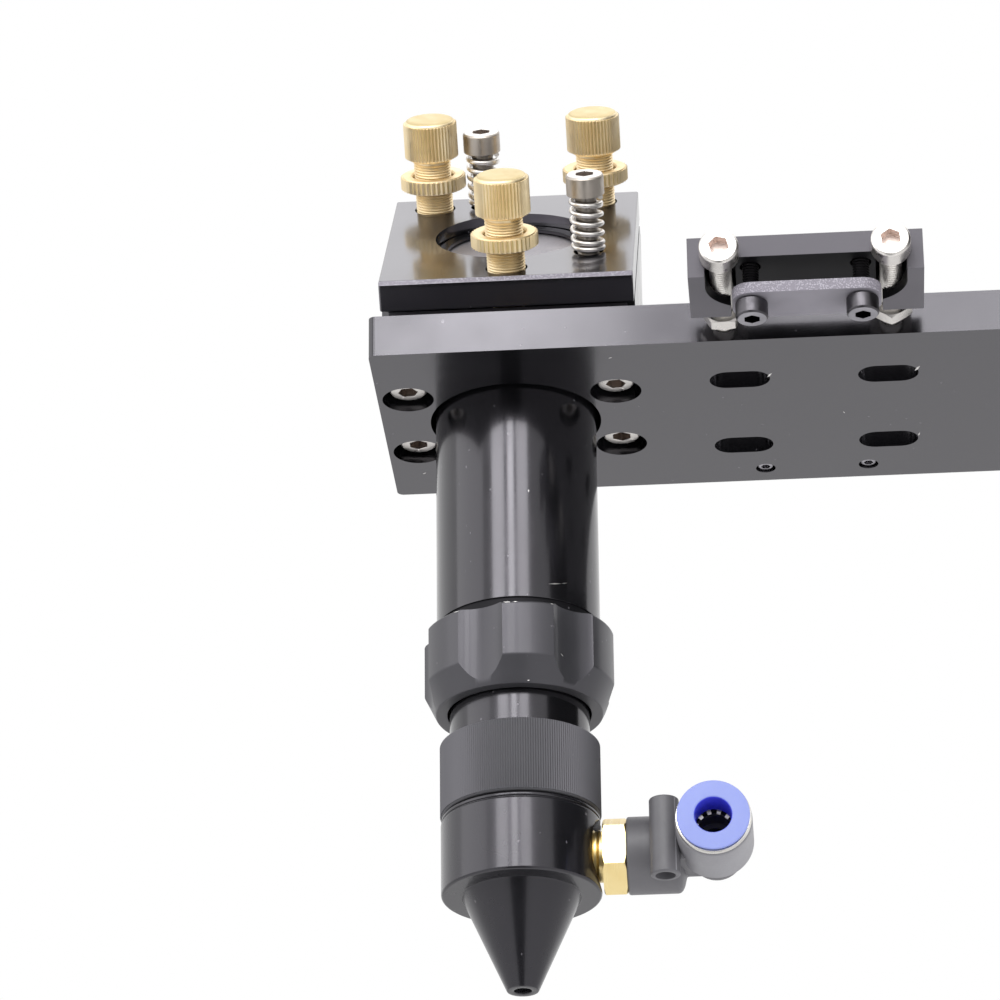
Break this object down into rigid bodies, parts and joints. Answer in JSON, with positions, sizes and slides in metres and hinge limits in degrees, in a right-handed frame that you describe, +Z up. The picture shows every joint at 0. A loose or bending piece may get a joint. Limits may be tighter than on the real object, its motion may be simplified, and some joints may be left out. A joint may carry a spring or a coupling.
{
  "type": "laser cutting head",
  "caption": "Laser cutting head on a mounting bar: adjustable 45 degree mirror mount, focus tube with lock collar, lens cell, nozzle, gas elbow and belt clamp.",
  "frame": {"origin": "centre of the pattern of carriage slots, on the bar's underside, where the bar sits on the carriage", "axes": "+Z up, away from the nozzle; +X along the bar, away from the focus tube; -Y is the side with the thumb screws and the belt clamp"},
  "size_m": [0.1163, 0.0821, 0.1672],
  "materials": {
    "mounting_bar": "black anodised, satin gloss",
    "mirror_block": "black anodised, satin gloss",
    "mirror_plate": "black anodised, satin gloss",
    "mirror_ring": "black anodised, matt",
    "outer_tube": "black anodised, turned",
    "lock_collar": "black anodised, milled flutes",
    "inner_tube": "black anodised, turned",
    "lens_cell": "black anodised, fine straight knurl",
    "lens_retainer": "black anodised, matt",
    "nozzle": "black anodised, turned",
    "belt_clamp_block": "black anodised, satin gloss",
    "belt_clamp_jaw": "black anodised, toothed",
    "mirror": "polished silicon or molybdenum, coated",
    "focus_lens": "zinc selenide, coated",
    "lens_seal": "moulded rubber",
    "port_seal": "moulded rubber",
    "gas_fitting_stem": "bright machined brass",
    "elbow_body": "black moulded resin, satin",
    "port_ring": "nickel plated",
    "release_collet": "blue moulded resin",
    "grab_ring": "spring stainless steel",
    "set_screw_left": "blackened steel",
    "set_screw_right": "blackened steel",
    "jaw_screw_left": "blackened steel",
    "jaw_screw_right": "blackened steel",
    "thumb_screw_left": "pale brass, straight knurl",
    "lock_nut_left": "pale brass, straight knurl",
    "thumb_screw_right": "pale brass, straight knurl",
    "lock_nut_right": "pale brass, straight knurl",
    "thumb_screw_front": "pale brass, straight knurl",
    "lock_nut_front": "pale brass, straight knurl",
    "block_screw_left_front": "stainless steel, turned",
    "block_screw_left_back": "stainless steel, turned",
    "block_screw_right_front": "stainless steel, turned",
    "block_screw_right_back": "stainless steel, turned",
    "spring_screw_back": "stainless steel",
    "spring_screw_front": "stainless steel",
    "clamp_screw_left": "stainless steel",
    "clamp_screw_right": "stainless steel",
    "clamp_nut_left": "stainless steel",
    "clamp_nut_right": "stainless steel",
    "plate_spring_back": "bright spring wire",
    "plate_spring_front": "bright spring wire"
  },
  "bodies": {
    "bar": {"mounting_bar": "mounting_bar", "mirror_block": "mirror_block", "outer_tube": "outer_tube", "set_screw_left": "set_screw_left", "set_screw_right": "set_screw_right", "block_screw_left_front": "block_screw_left_front", "block_screw_left_back": "block_screw_left_back", "block_screw_right_front": "block_screw_right_front", "block_screw_right_back": "block_screw_right_back", "spring_screw_back": "spring_screw_back", "spring_screw_front": "spring_screw_front", "clamp_screw_left": "clamp_screw_left", "clamp_screw_right": "clamp_screw_right", "clamp_nut_left": "clamp_nut_left", "clamp_nut_right": "clamp_nut_right", "plate_spring_back": "plate_spring_back", "plate_spring_front": "plate_spring_front"},
    "tilt_plate": {"mirror_plate": "mirror_plate", "mirror": "mirror", "mirror_ring": "mirror_ring"},
    "thumb_left": {"thumb_screw_left": "thumb_screw_left"},
    "thumb_right": {"thumb_screw_right": "thumb_screw_right"},
    "thumb_front": {"thumb_screw_front": "thumb_screw_front"},
    "nut_left": {"lock_nut_left": "lock_nut_left"},
    "nut_right": {"lock_nut_right": "lock_nut_right"},
    "nut_front": {"lock_nut_front": "lock_nut_front"},
    "collar": {"lock_collar": "lock_collar"},
    "focus_tube": {"inner_tube": "inner_tube"},
    "cell": {"lens_cell": "lens_cell", "focus_lens": "focus_lens", "lens_seal": "lens_seal", "lens_retainer": "lens_retainer"},
    "nozzle": {"nozzle": "nozzle", "gas_fitting_stem": "gas_fitting_stem"},
    "elbow": {"elbow_body": "elbow_body", "port_ring": "port_ring", "grab_ring": "grab_ring", "port_seal": "port_seal"},
    "collet": {"release_collet": "release_collet"},
    "belt_clamp": {"belt_clamp_block": "belt_clamp_block"},
    "jaw": {"belt_clamp_jaw": "belt_clamp_jaw", "jaw_screw_left": "jaw_screw_left", "jaw_screw_right": "jaw_screw_right"}
  },
  "joints": [
    {"name": "plate_tilt", "type": "hinge", "parent": "bar", "child": "tilt_plate", "pos_m": [-0.05225, 0.01145, 0.0426], "axis": [-1, 0, 0], "range_deg": [-0.5, 0.5]},
    {"name": "front_screw_turn", "type": "hinge", "parent": "bar", "child": "thumb_front", "pos_m": [-0.05225, -0.01655, 0.01587], "axis": [0, 0.7071, -0.7071], "range_deg": [-244, 244]},
    {"name": "left_screw_turn", "type": "hinge", "parent": "bar", "child": "thumb_left", "pos_m": [-0.06685, 0.01081, 0.04324], "axis": [0, 0.7071, -0.7071], "range_deg": [-180, 180]},
    {"name": "right_screw_turn", "type": "hinge", "parent": "bar", "child": "thumb_right", "pos_m": [-0.03765, 0.01081, 0.04324], "axis": [0, 0.7071, -0.7071], "range_deg": [-180, 180]},
    {"name": "front_nut_slide", "type": "slide", "parent": "thumb_front", "child": "nut_front", "axis": [0, -0.7071, 0.7071], "range_m": [-0.003, 0.0024]},
    {"name": "left_nut_slide", "type": "slide", "parent": "thumb_left", "child": "nut_left", "axis": [0, -0.7071, 0.7071], "range_m": [-0.003, 0.0024]},
    {"name": "right_nut_slide", "type": "slide", "parent": "thumb_right", "child": "nut_right", "axis": [0, -0.7071, 0.7071], "range_m": [-0.003, 0.0024]},
    {"name": "collar_turn", "type": "hinge", "parent": "bar", "child": "collar", "pos_m": [-0.05225, 0, -0.0489], "axis": [0, 0, -1], "range_deg": [0, 360]},
    {"name": "focus_slide", "type": "slide", "parent": "bar", "child": "focus_tube", "axis": [0, 0, 1], "range_m": [-0.02, 0.005]},
    {"name": "cell_turn", "type": "hinge", "parent": "focus_tube", "child": "cell", "pos_m": [-0.05225, 0, -0.068], "axis": [0, 0, -1], "range_deg": [0, 360]},
    {"name": "nozzle_turn", "type": "hinge", "parent": "cell", "child": "nozzle", "pos_m": [-0.05225, 0, -0.082], "axis": [0, 0, -1], "range_deg": [0, 360]},
    {"name": "elbow_swivel", "type": "hinge", "parent": "nozzle", "child": "elbow", "pos_m": [-0.03025, 0, -0.082], "axis": [1, 0, 0], "continuous": true},
    {"name": "collet_press", "type": "slide", "parent": "elbow", "child": "collet", "axis": [0, 1, 0], "range_m": [0, 0.0004], "stiffness_N_per_m": 200},
    {"name": "belt_tension", "type": "slide", "parent": "bar", "child": "belt_clamp", "axis": [0, 1, 0], "range_m": [0, 0.0019]},
    {"name": "jaw_lift", "type": "slide", "parent": "belt_clamp", "child": "jaw", "axis": [0, 0, 1], "range_m": [-0.002, 0.0007]}
  ],
  "couplings": [
    {"joint": "front_screw_turn", "follows": "plate_tilt", "ratio": 486.32}
  ]
}
